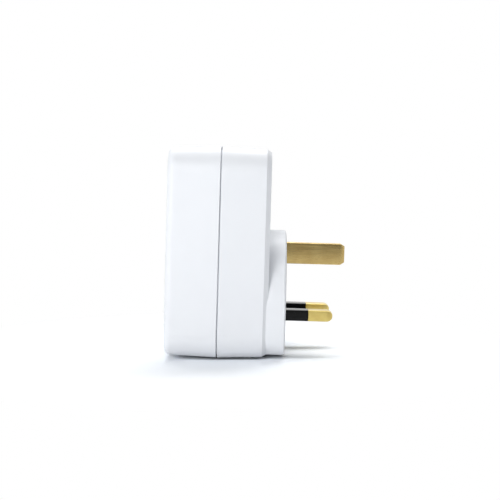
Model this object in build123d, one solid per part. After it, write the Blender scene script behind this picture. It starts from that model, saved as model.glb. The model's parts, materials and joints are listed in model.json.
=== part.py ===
from build123d import *
from math import radians, tan
import os

# Lengths are in millimetres and angles in degrees. X runs across the adapter, Y from the socket face
# back to the wall, and Z up. The origin is on the plug face, midway between line and neutral pins.

# Casing: two drafted covers that meet at a parting line
body_width = 58.0
body_height = 77.2
corner_radius = 9.0
draft_angle = 2.0
front_depth = 19.3  # parting line to socket face
rear_depth = 18.2  # parting line to the shoulder round the plug base
wall = 2.2
face_wall = 2.5  # behind the socket face
front_edge_radius = 2.5
shoulder_bevel_width = 1.15  # in from the casing's side
shoulder_bevel_depth = 1.75  # forward from the shoulder
shadow_gap = 0.4  # groove left between the two rims
rim_edge_radius = 0.2
lip_thickness = 1.0  # tongue on the front rim that enters the rear cover
lip_height = 1.6
lip_clearance = 0.1

# Plug base, one piece with the rear cover
base_side_step = 0.7  # in from the sides of the shoulder
base_depth = 6.5
base_top = 30.7  # above the line and neutral pins
base_bottom_step = 0.9  # above the lower edge of the shoulder
base_corner_radius = 8.0
base_edge_radius = 0.8
base_wall = 3.0

# Plug pins
pin_spacing = 22.23  # line to neutral
earth_rise = 22.23  # earth pin above the other two
pins_above_bottom = 15.5  # line and neutral pins above the casing's lowest edge
pin_thickness = 4.0
power_pin_width = 6.35
power_pin_length = 17.8
power_tip_round = 1.9
power_tip_side_round = 1.4
earth_pin_width = 8.0
earth_pin_length = 22.3
earth_tip_length = 1.6
earth_tip_inset = 0.9
sleeve_length = 8.7  # from the plug face
sleeve_embed = 6.0  # behind the plug face
sleeve_wall = 0.7
pin_clearance = 0.05
collar_depth = 10.0  # plug face to the collar's inner end
collar_wall = 1.8
flange_lip = 1.0
flange_thickness = 1.5
tenon_radius = 1.5
rivet_radius = 2.2
rivet_height = 0.9

# Spring clips behind the socket face
sheet = 0.8
clip_arm_gap = 6.0  # between the arms beside the rivet
clip_jaw_gap = 3.3
clip_mouth_gap = 5.8
clip_jaw_run = 2.5  # mouth to jaw
clip_knee_run = 6.0  # jaw to straight arm
power_clip_setback = 11.2  # socket face to clip mouth
earth_clip_setback = 13.0
clip_margin = 0.2  # strip narrower than the pin, each side
clip_seat = 0.9  # rim of the clip's back under the pocket wall
clip_tab_rise = 5.5  # wire tab above the clip

# Contact carrier
carrier_plate = 2.5
pocket_wall = 1.4
pocket_clearance = 0.3
carrier_margin = 1.2  # plate round the pockets
carrier_post_gap = 4.0  # post axis out from the pockets
carrier_post_radius = 2.8
carrier_post_z = 11.0  # above the line and neutral pins

# Socket slots and shutter
slot_clearance = 0.4  # round each plug pin
slot_chamfer = 0.4
shutter_thickness = 3.5
shutter_clearance = 0.3
shutter_overlap = 0.6  # past the edges of the slots
stem_width = 5.8
ramp_rear_foot = 3.0  # rear of the ramp below its front edge
guide_width = 1.2
guide_length = 9.0
spring_length = 8.4
spring_radius = 1.4  # axis to the middle of the wire
spring_wire = 0.35
spring_turns = 5.0
spring_shelf_width = 6.0
spring_end_gap = 0.05
spigot_clearance = 0.25
spigot_length = 1.2

# Screws
casing_post_radius = 3.0
casing_screw_length = 11.0
casing_shank_radius = 1.45
casing_head_radius = 2.4
casing_head_height = 1.9
small_shank_radius = 1.05
small_head_radius = 1.9
small_head_height = 1.4
carrier_screw_length = 8.0
board_screw_length = 6.5
thread_clearance = 0.05
well_clearance = 0.3
well_wall = 1.3
well_floor = 2.5
screw_hole_clearance = 0.3
pilot_spare = 1.0  # pilot hole past the screw's tip
recess_width = 0.7
recess_depth = 0.9
recess_margin = 0.8  # recess to the edge of the head
upper_post_side = 7.0  # in from the casing's side
upper_post_top = 8.2  # down from the casing's top
lower_post_side = 8.2  # in from the plug base's side
lower_post_bottom = 6.5  # up from the casing's lowest edge

# USB ports
usb_drop = 15.7  # middle of the ports below the casing's top
usb_spacing = 22.0
usb_opening_width = 12.5
usb_opening_height = 5.12
usb_sheet = 0.3
usb_length = 14.0
usb_recess = 0.3  # behind the socket face
usb_corner_radius = 0.6
usb_window_clearance = 0.2
usb_base_depth = 4.0
usb_base_clearance = 0.05
tongue_width = 11.1
tongue_thickness = 1.84
tongue_lift = 0.06  # contact side above the middle of the port
tongue_setback = 1.2
strip_width = 1.0
strip_thickness = 0.25
strip_setback = 0.8
strip_places = (-3.5, -1.0, 1.0, 3.5)

# Circuit board, with places measured across and up from its middle
board_thickness = 1.6
board_foot_gap = 2.2  # above the contact carrier
board_head_gap = 2.5  # below the casing's upper wall
board_side_gap = 1.0
board_screw_inset = 2.3
board_post_radius = 2.4

core_width = 14.0
core_height = 13.0
core_depth = 6.0
core_leg = 2.8
core_lift = 3.6  # core above the board
winding_overhang = 3.3
winding_flange = 0.8
winding_gap = 0.1
transformer_place = (0.0, 0.0)

mains_can_radius = 4.0
mains_can_height = 12.0
mains_can_place = (-11.3, -3.0)
output_can_radius = 3.15
output_can_height = 11.0
output_can_place = (10.5, 4.75)
can_groove = 0.4
can_groove_height = 1.6

choke_radius = 3.0
choke_height = 8.0
choke_waist = 2.3
choke_flange = 1.2
choke_place = (-10.4, 4.3)

disc_radius = 3.1
disc_thickness = 3.0
disc_stand = 0.8
disc_place = (10.5, -0.2)
lead_radius = 0.35
lead_spacing = 4.0

resistor_radius = 1.5
resistor_length = 7.0
resistor_lift = 2.2
resistor_lead_run = 1.4
resistor_place = (0.0, 7.7)

rectifier_size = (4.8, 2.4, 3.6)
rectifier_lead_places = (-1.5, 1.5)
rectifier_place = (0.0, -6.6)
chip_size = (5.0, 1.6, 4.0)
chip_lead_places = (-1.905, -0.635, 0.635, 1.905)
chip_place = (10.9, -5.0)
flat_lead = (0.45, 0.2, 0.8)  # width, thickness and reach past the body

# Wires from clips to board
wire_radius = 0.9
wire_bend = 9.0
wire_pad_inset = 1.4  # above the board's lower edge

# Places that follow from the sizes above
parting_y = -base_depth - rear_depth
front_y = parting_y - front_depth
shoulder_y = -base_depth
front_inner_y = front_y + face_wall
body_bottom = -pins_above_bottom
body_top = body_bottom + body_height
rear_taper = rear_depth * tan(radians(draft_angle))
base_half_width = body_width / 2 - rear_taper - base_side_step
base_bottom = body_bottom + rear_taper + base_bottom_step
base_arc_z = base_top - base_half_width
line_x = pin_spacing / 2

collar_end_y = -collar_depth
clip_rear_y = collar_end_y - flange_thickness
clip_front_y = clip_rear_y - sheet
clip_half_height = clip_arm_gap / 2 + sheet

carrier_front_y = front_inner_y + shutter_thickness + 2 * shutter_clearance
carrier_rear_y = carrier_front_y + carrier_plate
pocket_half_height = clip_half_height + pocket_clearance
carrier_top = earth_rise + earth_pin_width / 2 + slot_clearance + pocket_clearance + pocket_wall

slot_half_thickness = pin_thickness / 2 + slot_clearance
shutter_y = (front_inner_y + shutter_clearance, carrier_front_y - shutter_clearance)
shutter_half_height = slot_half_thickness + shutter_overlap
shutter_travel = 2 * slot_half_thickness + 2 * shutter_overlap
spring_seat_z = -shutter_half_height - spring_length
spring_y = (shutter_y[0] + shutter_y[1]) / 2
ramp_foot_z = earth_rise - earth_pin_width / 2 - slot_clearance - shutter_clearance
ramp_top_z = ramp_foot_z + shutter_travel
ramp_rear_y = shutter_y[0] + shutter_travel

upper_post_x = body_width / 2 - upper_post_side
upper_post_z = body_top - upper_post_top
lower_post_x = base_half_width - lower_post_side
lower_post_z = body_bottom + lower_post_bottom
well_radius = casing_head_radius + well_clearance
screw_seat_y = parting_y + well_floor

usb_rise = body_top - usb_drop
usb_mouth_y = front_y + usb_recess
board_front_y = usb_mouth_y + usb_length
board_rear_y = board_front_y + board_thickness
board_bottom = carrier_top + board_foot_gap
board_top = body_top - wall - board_head_gap
board_middle = (board_bottom + board_top) / 2
board_half_width = upper_post_x - casing_post_radius - board_side_gap
board_screw_places = [
    (side * (board_half_width - board_screw_inset), z)
    for side in (-1, 1)
    for z in (board_bottom + board_screw_inset, board_top - board_screw_inset)
]


# Shapes used by several pieces
def block(x, y, z):
    """A box between the low and high ends given for each axis."""
    ends = (x, y, z)
    middle = [(low + high) / 2 for low, high in ends]
    return Pos(*middle) * Box(*[high - low for low, high in ends])


def around(half, middle=0.0):
    """The low and high ends of a stretch about its middle."""
    return (middle - half, middle + half)


def rod(radius, y, x=0.0, z=0.0):
    """A round bar along Y."""
    return Pos(x, (y[0] + y[1]) / 2, z) * Rot(90, 0, 0) * Cylinder(radius, y[1] - y[0])


def plane_at(y, toward):
    """A plane across the adapter, with its normal to the front (-1) or the rear (1)."""
    return Plane(origin=(0, y, 0), x_dir=(-toward, 0, 0), z_dir=(0, toward, 0))


def casing_outline(inset):
    """The rounded outline at the parting line, moved in by an even amount."""
    outline = RectangleRounded(
        body_width - 2 * inset, body_height - 2 * inset, corner_radius - inset
    )
    return Pos(0, (body_bottom + body_top) / 2) * outline


def casing_block(inset, y, toward, depth):
    """A drafted block that starts at y and narrows to the front or the rear."""
    return extrude(plane_at(y, toward) * casing_outline(inset), amount=depth, taper=draft_angle)


def casing_ring(outer_inset, inner_inset, y):
    """A straight ring that follows the casing's outline."""
    ring = casing_outline(outer_inset) - casing_outline(inner_inset)
    return extrude(plane_at(y[0], 1) * ring, amount=y[1] - y[0])


def base_outline(inset):
    """The plug base: straight sides, rounded lower corners and a half-round top."""
    half = base_half_width - inset
    bottom = base_bottom + inset
    lower = Pos(0, (base_arc_z + bottom) / 2) * Rectangle(2 * half, base_arc_z - bottom)
    lower = fillet(lower.vertices().group_by(Axis.Y)[0], base_corner_radius - inset)
    half_round = Circle(half) & (Pos(0, half / 2) * Rectangle(2 * half, half))
    return lower + Pos(0, base_arc_z) * half_round


def casing_post_places():
    """Screw places, each with the y where its well opens."""
    for side in (-1, 1):
        yield side * upper_post_x, upper_post_z, shoulder_y
        yield side * lower_post_x, lower_post_z, 0.0


def carrier_post_places():
    post_x = line_x + pocket_half_width(power_pin_width) + pocket_wall + carrier_post_gap
    return [(side * post_x, carrier_post_z) for side in (-1, 1)]


def socket_places():
    """Each plug pin's place, its long side and its turn about Y."""
    return [
        (Pos(line_x, 0, 0), power_pin_width),
        (Pos(-line_x, 0, 0), power_pin_width),
        (Pos(0, 0, earth_rise) * Rot(0, 90, 0), earth_pin_width),
    ]


def slot(width, y):
    """Clear way for a plug pin through a wall."""
    return block(around(width / 2 + slot_clearance), y, around(slot_half_thickness))


def pocket_half_width(width):
    return width / 2 + slot_clearance + pocket_clearance


def screw(head_radius, head_height, shank_radius, length):
    """A pan-head screw that points to -Y, with its seat at y = 0 and a cross recess."""
    head = rod(head_radius, (0, head_height))
    head = fillet(head.edges().sort_by(Axis.Y)[-1], head_height / 3)
    recess_y = (head_height - recess_depth, head_height)
    arm = around(head_radius - recess_margin)
    head -= block(arm, recess_y, around(recess_width / 2))
    head -= block(around(recess_width / 2), recess_y, arm)
    shank = rod(shank_radius, (-length, 0))
    return head + chamfer(shank.edges().sort_by(Axis.Y)[0], shank_radius / 2)


# Casing
def front_cover():
    rim_y = parting_y - shadow_gap / 2
    depth = rim_y - front_y
    shell = casing_block(0, rim_y, -1, depth)
    shell = fillet(shell.faces().sort_by(Axis.Y)[0].edges(), front_edge_radius)
    shell = fillet(shell.faces().sort_by(Axis.Y)[-1].edges(), rim_edge_radius)
    shell -= casing_block(wall, rim_y, -1, depth - face_wall)
    shell += casing_ring(wall - lip_thickness, wall, (rim_y, parting_y + lip_height))
    for place, width in socket_places():
        shell -= place * slot(width, (front_y, front_inner_y))
    for side in (-1, 1):
        shell -= usb_window(side)
    openings = shell.faces().filter_by(Plane.XZ).sort_by(Axis.Y)[0].inner_wires()
    shell = chamfer([edge for wire in openings for edge in wire.edges()], slot_chamfer)
    for post in front_posts():
        shell += post
    return shell + shutter_guides()


def usb_window(side):
    width = usb_opening_width + 2 * (usb_sheet + usb_window_clearance)
    height = usb_opening_height + 2 * (usb_sheet + usb_window_clearance)
    window = RectangleRounded(width, height, usb_corner_radius + usb_sheet)
    window = plane_at(front_inner_y, -1) * Pos(side * usb_spacing / 2, usb_rise) * window
    return extrude(window, amount=face_wall)


def front_posts():
    """Posts for the casing screws and for the circuit board, with their pilot holes."""
    root_y = front_y + face_wall / 2
    pilot = casing_shank_radius + thread_clearance
    tip_y = screw_seat_y - casing_screw_length - pilot_spare
    for x, z, _ in casing_post_places():
        post = rod(casing_post_radius, (root_y, parting_y), x, z)
        yield post - rod(pilot, (tip_y, parting_y), x, z)
    pilot = small_shank_radius + thread_clearance
    tip_y = board_rear_y - board_screw_length - pilot_spare
    for x, z in board_screw_places:
        post = rod(board_post_radius, (root_y, board_front_y), x, z)
        yield post - rod(pilot, (tip_y, board_front_y), x, z)


def shutter_guides():
    """Two ribs beside the shutter's stem, and the shelf that its spring stands on."""
    y = (front_y + face_wall / 2, carrier_front_y - shutter_clearance)
    low = shutter_half_height + shutter_clearance
    inner = stem_width / 2 + shutter_clearance
    shelf = block(around(spring_shelf_width / 2), y, (body_bottom + wall, spring_seat_z))
    for side in (-1, 1):
        x = sorted((side * inner, side * (inner + guide_width)))
        shelf += block(x, y, (low, low + guide_length))
    return shelf


def rear_cover():
    rim_y = parting_y + shadow_gap / 2
    depth = shoulder_y - rim_y
    shell = casing_block(0, rim_y, 1, depth)
    shoulder = shell.faces().sort_by(Axis.Y)[-1]
    shell = chamfer(shoulder.edges(), shoulder_bevel_width, shoulder_bevel_depth, reference=shoulder)
    shell = fillet(shell.faces().sort_by(Axis.Y)[0].edges(), rim_edge_radius)
    base = extrude(plane_at(shoulder_y - wall, 1) * base_outline(0), amount=base_depth + wall)
    shell += fillet(base.faces().sort_by(Axis.Y)[-1].edges(), base_edge_radius)
    shell -= casing_block(wall, rim_y, 1, depth - wall)
    hollow_y = shoulder_y - wall
    hollow = plane_at(hollow_y, 1) * base_outline(wall)
    shell -= extrude(hollow, amount=-base_wall - hollow_y)
    shell = pin_collars(carrier_posts(screw_wells(shell)))
    outer_inset = wall - lip_thickness - lip_clearance
    return shell - casing_ring(outer_inset, wall + lip_clearance, (rim_y, parting_y + lip_height))


def screw_wells(shell):
    """Deep wells for the casing screws, which open at the shoulder and at the plug face."""
    hole = casing_shank_radius + screw_hole_clearance
    for x, z, mouth_y in casing_post_places():
        root_y = mouth_y - min(wall, base_wall) / 2
        shell += rod(well_radius + well_wall, (parting_y, root_y), x, z)
        shell -= rod(well_radius, (screw_seat_y, mouth_y), x, z)
        shell -= rod(hole, (parting_y, screw_seat_y), x, z)
    return shell


def carrier_posts(shell):
    pilot = small_shank_radius + thread_clearance
    tip_y = carrier_front_y + carrier_screw_length + pilot_spare
    for x, z in carrier_post_places():
        shell += rod(carrier_post_radius, (carrier_rear_y, -base_wall / 2), x, z)
        shell -= rod(pilot, (carrier_rear_y, tip_y), x, z)
    return shell


def pin_collars(shell):
    """A collar behind the plug face for each pin."""
    for place, width in socket_places():
        hole_x = width / 2 + pin_clearance
        hole_z = pin_thickness / 2 + pin_clearance
        y = (collar_end_y, -base_wall / 2)
        shell += place * block(around(hole_x + collar_wall), y, around(hole_z + collar_wall))
        shell -= place * block(around(hole_x), (collar_end_y, 0), around(hole_z))
    return shell


# Pins and clips, made about the pin's own axis with its long side along X
def blade(width, y, inset=0.0):
    return block(around(width / 2 - inset), y, around(pin_thickness / 2 - inset))


def pin_root(width):
    """Flange behind the collar, and the riveted tenon that carries the clip."""
    flange_x = around(width / 2 + flange_lip)
    flange_z = around(pin_thickness / 2 + flange_lip)
    root = block(flange_x, (clip_rear_y, collar_end_y), flange_z)
    root += rod(tenon_radius, (clip_front_y, clip_rear_y))
    return root + rod(rivet_radius, (clip_front_y - rivet_height, clip_front_y))


def power_pin():
    y = (sleeve_length, power_pin_length)
    tip = fillet(blade(power_pin_width, y).faces().sort_by(Axis.Y)[-1].edges().filter_by(Axis.X),
                 power_tip_round)
    tip &= fillet(blade(power_pin_width, y).faces().sort_by(Axis.Y)[-1].edges().filter_by(Axis.Z),
                  power_tip_side_round)
    core = blade(power_pin_width, (-sleeve_embed, sleeve_length), sleeve_wall)
    return tip + core + blade(power_pin_width, (collar_end_y, -sleeve_embed)) + pin_root(power_pin_width)


def pin_sleeve():
    y = (-sleeve_embed, sleeve_length)
    return blade(power_pin_width, y) - blade(power_pin_width, y, sleeve_wall)


def earth_pin():
    pin = blade(earth_pin_width, (collar_end_y, earth_pin_length))
    tip = pin.faces().sort_by(Axis.Y)[-1]
    pin = chamfer(tip.edges(), earth_tip_inset, earth_tip_length, reference=tip)
    return pin + pin_root(earth_pin_width)


def clip_profile(mouth_y):
    """Side view of a clip: a back, two arms that close to jaws, and a flared mouth."""
    jaw_y = mouth_y + clip_jaw_run
    knee_y = jaw_y + clip_knee_run
    arm, jaw, mouth = clip_arm_gap / 2, clip_jaw_gap / 2, clip_mouth_gap / 2
    outer = [(mouth_y, mouth), (jaw_y, jaw), (knee_y, arm), (clip_rear_y, arm)]
    inner = [(clip_front_y, arm), (knee_y, arm), (jaw_y, jaw), (mouth_y, mouth)]
    upper = [(y, z + sheet) for y, z in outer]
    lower = [(y, -z) for y, z in reversed(upper)]
    inside = [(y, -z) for y, z in reversed(inner)] + inner
    return make_face(Plane.YZ * Polyline(*upper, *lower, *inside, close=True))


def clip(width, setback, tab_rise=0.0):
    arms = extrude(clip_profile(front_y + setback), amount=width / 2 - clip_margin, both=True)
    half = pocket_half_width(width) + clip_seat
    y = (clip_front_y, clip_rear_y)
    back = block(around(half), y, around(clip_half_height))
    if tab_rise:
        tab_x = (-half, -(width / 2 - clip_margin))
        back += block(tab_x, y, (0, clip_half_height + tab_rise))
    return arms + back - rod(tenon_radius, y)


# Inside the socket
def contact_carrier():
    plate_half = line_x + pocket_half_width(power_pin_width) + pocket_wall + carrier_margin
    lower = -pocket_half_height - pocket_wall
    y = (carrier_front_y, carrier_rear_y)
    carrier = block(around(plate_half), y, (lower, carrier_top))
    ear = carrier_post_radius + carrier_margin
    for x, z in carrier_post_places():
        carrier += block(sorted((0, x)), y, around(ear, z)) + rod(ear, y, x, z)
        carrier -= rod(small_shank_radius + screw_hole_clearance, y, x, z)
    for place, width in socket_places():
        carrier += place * pocket(width, pocket_wall, (carrier_rear_y, clip_front_y))
    for place, width in socket_places():
        carrier -= place * pocket(width, 0, (carrier_rear_y, clip_front_y))
        carrier -= place * slot(width, y)
    ramp_slot = around(stem_width / 2 + shutter_clearance)
    lowest = ramp_foot_z - ramp_rear_foot - shutter_travel - shutter_clearance
    return carrier - block(ramp_slot, y, (lowest, ramp_top_z + shutter_clearance))


def pocket(width, extra, y):
    half_width = pocket_half_width(width) + extra
    return block(around(half_width), y, around(pocket_half_height + extra))


def shutter():
    half_width = line_x + power_pin_width / 2 + slot_clearance + shutter_overlap
    bar = block(around(half_width), shutter_y, around(shutter_half_height))
    stem = block(around(stem_width / 2), shutter_y, (0, ramp_foot_z))
    spigot_z = -shutter_half_height - spigot_length / 2
    spigot_radius = spring_radius - spring_wire / 2 - spigot_clearance
    spigot = Pos(0, spring_y, spigot_z) * Cylinder(spigot_radius, spigot_length)
    return bar + stem + ramp() + spigot


def ramp():
    """Slope in the earth slot: the earth pin slides along it and pushes the shutter down."""
    front, middle = shutter_y
    corners = [
        (front, ramp_foot_z),
        (ramp_rear_y, ramp_top_z),
        (ramp_rear_y, ramp_foot_z),
        (middle, ramp_foot_z - ramp_rear_foot),
        (front, ramp_foot_z - ramp_rear_foot),
    ]
    side = make_face(Plane.YZ * Polyline(*corners, close=True))
    return extrude(side, amount=stem_width / 2, both=True)


def shutter_spring():
    height = spring_length - spring_wire - spring_end_gap
    start = (0, spring_y, spring_seat_z + spring_wire / 2)
    path = Helix(height / spring_turns, height, spring_radius, center=start)
    return sweep(Plane(path @ 0, z_dir=path % 0) * Circle(spring_wire / 2), path=path, is_frenet=True)


# USB ports
def usb_tube(width, height, radius, y, side):
    outline = Pos(side * usb_spacing / 2, usb_rise) * RectangleRounded(width, height, radius)
    return extrude(plane_at(y[1], -1) * outline, amount=y[1] - y[0])


def usb_shell(side):
    y = (usb_mouth_y, board_front_y)
    outer_width = usb_opening_width + 2 * usb_sheet
    outer_height = usb_opening_height + 2 * usb_sheet
    shell = usb_tube(outer_width, outer_height, usb_corner_radius + usb_sheet, y, side)
    return shell - usb_tube(usb_opening_width, usb_opening_height, usb_corner_radius, y, side)


def usb_tongue(side):
    width = usb_opening_width - 2 * usb_base_clearance
    height = usb_opening_height - 2 * usb_base_clearance
    base_y = board_front_y - usb_base_depth
    base = usb_tube(width, height, usb_corner_radius, (base_y, board_front_y), side)
    low = usb_rise + tongue_lift
    tongue_x = around(tongue_width / 2, side * usb_spacing / 2)
    return base + block(tongue_x, (usb_mouth_y + tongue_setback, base_y), (low, low + tongue_thickness))


def usb_contacts(side):
    y = (usb_mouth_y + tongue_setback + strip_setback, board_front_y - usb_base_depth)
    z = (usb_rise + tongue_lift - strip_thickness, usb_rise + tongue_lift)
    middle = side * usb_spacing / 2
    strips = [block(around(strip_width / 2, middle + place), y, z) for place in strip_places]
    return Compound(children=strips)


# Supply board: each part is made standing on the middle of the board, and then placed
def on_board(place, part):
    return Pos(place[0], board_rear_y, board_middle + place[1]) * part


def circuit_board():
    board = block(around(board_half_width), (board_front_y, board_rear_y), (board_bottom, board_top))
    for x, z in board_screw_places:
        hole = small_shank_radius + screw_hole_clearance
        board -= rod(hole, (board_front_y, board_rear_y), x, z)
    return board


def core_window():
    """The two openings of the core, beside its middle leg."""
    y = (core_lift, core_lift + core_depth)
    z = around(core_height / 2 - core_leg)
    for side in (-1, 1):
        x = sorted((side * core_leg, side * (core_width / 2 - core_leg)))
        yield block(x, y, z)


def transformer_core():
    y = (core_lift, core_lift + core_depth)
    core = block(around(core_width / 2), y, around(core_height / 2))
    for opening in core_window():
        core -= opening
    return on_board(transformer_place, core)


def transformer_winding():
    """Taped winding on its bobbin, wrapped round the core's middle leg and standing on the board."""
    inner_z = core_height / 2 - core_leg - winding_gap
    outer_x = core_width / 2 - core_leg - winding_gap
    high = core_lift + core_depth + winding_overhang
    wound_y = (winding_flange, high - winding_flange)
    winding = block(around(outer_x - winding_flange), wound_y, around(inner_z))
    winding = fillet(winding.edges().filter_by(Axis.Z), winding_flange)
    for z in (around(winding_flange / 2, winding_flange / 2 - inner_z),
              around(winding_flange / 2, inner_z - winding_flange / 2)):
        winding += block(around(outer_x), (0, high), z)
    leg_y = around(core_depth / 2 + winding_gap, core_lift + core_depth / 2)
    winding -= block(around(core_leg + winding_gap), leg_y, around(inner_z))
    return on_board(transformer_place, winding)


def can_capacitor(radius, height, place):
    """Sleeved can with a rolled groove above its base and a rounded top."""
    can = rod(radius, (0, height))
    can = fillet(can.edges().sort_by(Axis.Y)[-1], can_groove)
    groove_y = around(can_groove / 2, can_groove_height)
    can -= rod(radius, groove_y) - rod(radius - can_groove, groove_y)
    return on_board(place, can)


def input_choke():
    """Drum with a winding waist between two flanges."""
    choke = rod(choke_radius, (0, choke_flange)) + rod(choke_waist, (0, choke_height))
    choke += rod(choke_radius, (choke_height - choke_flange, choke_height))
    return on_board(choke_place, choke)


def safety_capacitor():
    """Disc on edge, on two leads."""
    middle = disc_stand + disc_radius
    disc = Pos(0, middle, 0) * Cylinder(disc_radius, disc_thickness)
    disc = fillet(disc.edges(), disc_thickness / 4)
    for side in (-1, 1):
        disc += rod(lead_radius, (0, middle), side * lead_spacing / 2)
    return on_board(disc_place, disc)


def fuse_resistor():
    """Ceramic rod that lies above the board on two bent leads."""
    body = Pos(0, resistor_lift, 0) * Rot(0, 90, 0) * Cylinder(resistor_radius, resistor_length)
    body = fillet(body.edges(), resistor_radius / 3)
    reach = resistor_length / 2 + resistor_lead_run
    for side in (-1, 1):
        body += rod(lead_radius, (0, resistor_lift + lead_radius), side * reach)
    lead = Pos(0, resistor_lift, 0) * Rot(0, 90, 0) * Cylinder(lead_radius, 2 * reach)
    return on_board(resistor_place, body + lead)


def bridge_rectifier():
    return on_board(rectifier_place, flat_package(rectifier_size, rectifier_lead_places))


def controller_chip():
    return on_board(chip_place, flat_package(chip_size, chip_lead_places))


def flat_package(size, lead_places):
    """Moulded body with a row of flat leads along two sides."""
    width, height, length = size
    lead_width, lead_thickness, reach = flat_lead
    package = block(around(width / 2), (lead_thickness / 2, height), around(length / 2))
    for place in lead_places:
        lead_x = around(lead_width / 2, place)
        package += block(lead_x, (0, lead_thickness), around(length / 2 + reach))
    return package


def wire():
    """Lead from the line clip's tab, up past the earth pocket and forward to the board."""
    half = pocket_half_width(power_pin_width) + clip_seat
    x = line_x - (half + power_pin_width / 2 - clip_margin) / 2
    y = (clip_front_y + clip_rear_y) / 2
    low = clip_half_height + clip_tab_rise
    high = board_bottom + wire_pad_inset
    path = FilletPolyline((x, y, low), (x, y, high), (x, board_rear_y, high), radius=wire_bend)
    return sweep(Plane(path @ 0, z_dir=path % 0) * Circle(wire_radius), path=path)


# Screws
def casing_screws():
    one = screw(casing_head_radius, casing_head_height, casing_shank_radius, casing_screw_length)
    return Compound(children=[Pos(x, screw_seat_y, z) * one for x, z, _ in casing_post_places()])


def carrier_screws():
    one = screw(small_head_radius, small_head_height, small_shank_radius, carrier_screw_length)
    turned = Rot(0, 0, 180) * one
    return Compound(children=[Pos(x, carrier_front_y, z) * turned for x, z in carrier_post_places()])


def board_screws():
    one = screw(small_head_radius, small_head_height, small_shank_radius, board_screw_length)
    return Compound(children=[Pos(x, board_rear_y, z) * one for x, z in board_screw_places])


def pieces():
    line, neutral, earth = [place for place, _ in socket_places()]
    across = Plane.YZ
    line_clip = line * clip(power_pin_width, power_clip_setback, clip_tab_rise)
    line_wire = wire()
    return {
        "front_cover": front_cover(),
        "rear_cover": rear_cover(),
        "earth_pin": earth * earth_pin(),
        "line_pin": line * power_pin(),
        "neutral_pin": neutral * power_pin(),
        "line_pin_sleeve": line * pin_sleeve(),
        "neutral_pin_sleeve": neutral * pin_sleeve(),
        "earth_contact": earth * clip(earth_pin_width, earth_clip_setback),
        "line_contact": line_clip,
        "neutral_contact": mirror(line_clip, about=across),
        "contact_carrier": contact_carrier(),
        "shutter": shutter(),
        "shutter_spring": shutter_spring(),
        "circuit_board": circuit_board(),
        "usb_shell_left": usb_shell(-1),
        "usb_shell_right": usb_shell(1),
        "usb_tongue_left": usb_tongue(-1),
        "usb_tongue_right": usb_tongue(1),
        "usb_contacts_left": usb_contacts(-1),
        "usb_contacts_right": usb_contacts(1),
        "transformer_core": transformer_core(),
        "transformer_winding": transformer_winding(),
        "mains_capacitor": can_capacitor(mains_can_radius, mains_can_height, mains_can_place),
        "output_capacitor": can_capacitor(output_can_radius, output_can_height, output_can_place),
        "safety_capacitor": safety_capacitor(),
        "input_choke": input_choke(),
        "fuse_resistor": fuse_resistor(),
        "bridge_rectifier": bridge_rectifier(),
        "controller_chip": controller_chip(),
        "line_wire": line_wire,
        "neutral_wire": mirror(line_wire, about=across),
        "casing_screws": casing_screws(),
        "carrier_screws": carrier_screws(),
        "board_screws": board_screws(),
    }


os.makedirs("parts", exist_ok=True)
for node, shape in pieces().items():
    export_step(shape, f"parts/{node}.step")
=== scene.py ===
import json
from math import cos, pi, radians, sin

import bmesh
import bpy
from mathutils import Matrix, Vector


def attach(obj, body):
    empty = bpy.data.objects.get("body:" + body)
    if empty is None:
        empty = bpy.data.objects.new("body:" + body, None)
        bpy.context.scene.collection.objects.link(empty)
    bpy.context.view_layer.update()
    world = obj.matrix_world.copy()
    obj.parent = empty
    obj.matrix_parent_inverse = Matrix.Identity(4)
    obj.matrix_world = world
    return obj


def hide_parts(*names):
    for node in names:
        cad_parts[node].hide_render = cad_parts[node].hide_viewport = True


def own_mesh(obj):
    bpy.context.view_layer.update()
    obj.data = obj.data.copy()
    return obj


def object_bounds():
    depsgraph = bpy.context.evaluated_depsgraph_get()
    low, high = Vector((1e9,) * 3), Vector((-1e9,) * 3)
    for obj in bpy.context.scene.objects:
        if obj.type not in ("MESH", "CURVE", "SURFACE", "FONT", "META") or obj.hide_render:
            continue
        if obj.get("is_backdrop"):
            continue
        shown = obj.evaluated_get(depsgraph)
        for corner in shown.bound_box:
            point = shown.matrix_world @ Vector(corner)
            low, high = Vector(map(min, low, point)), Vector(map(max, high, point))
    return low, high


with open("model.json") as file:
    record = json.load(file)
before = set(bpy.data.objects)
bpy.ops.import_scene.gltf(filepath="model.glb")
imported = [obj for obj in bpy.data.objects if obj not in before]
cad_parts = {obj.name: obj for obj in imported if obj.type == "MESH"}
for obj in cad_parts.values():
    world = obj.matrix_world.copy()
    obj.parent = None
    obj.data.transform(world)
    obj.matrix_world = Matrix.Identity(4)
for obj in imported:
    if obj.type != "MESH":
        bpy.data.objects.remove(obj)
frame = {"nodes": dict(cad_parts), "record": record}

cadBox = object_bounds()
mm = 0.001
scene = bpy.context.scene
scene.view_settings.view_transform = "Standard"
print("frame loaded,", len(frame["nodes"]), "nodes")


def linearColour(code):
    # sRGB hex to the linear values that shaders take
    parts = [int(code[i:i + 2], 16) / 255 for i in (0, 2, 4)]
    return [p / 12.92 if p <= 0.04045 else ((p + 0.055) / 1.055) ** 2.4 for p in parts] + [1.0]


def addNode(tree, kind, sockets=None, **settings):
    # each input is found by its identifier or name, and takes a link or a value
    node = tree.nodes.new(kind)
    for name, value in settings.items():
        setattr(node, name, value)
    for key, value in (sockets or {}).items():
        target = next(s for s in node.inputs if key in (s.identifier, s.name))
        if isinstance(value, bpy.types.NodeSocket):
            tree.links.new(value, target)
        else:
            target.default_value = value
    return node


def emptyTree(owner):
    owner.use_nodes = True
    owner.node_tree.nodes.clear()
    return owner.node_tree


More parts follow.
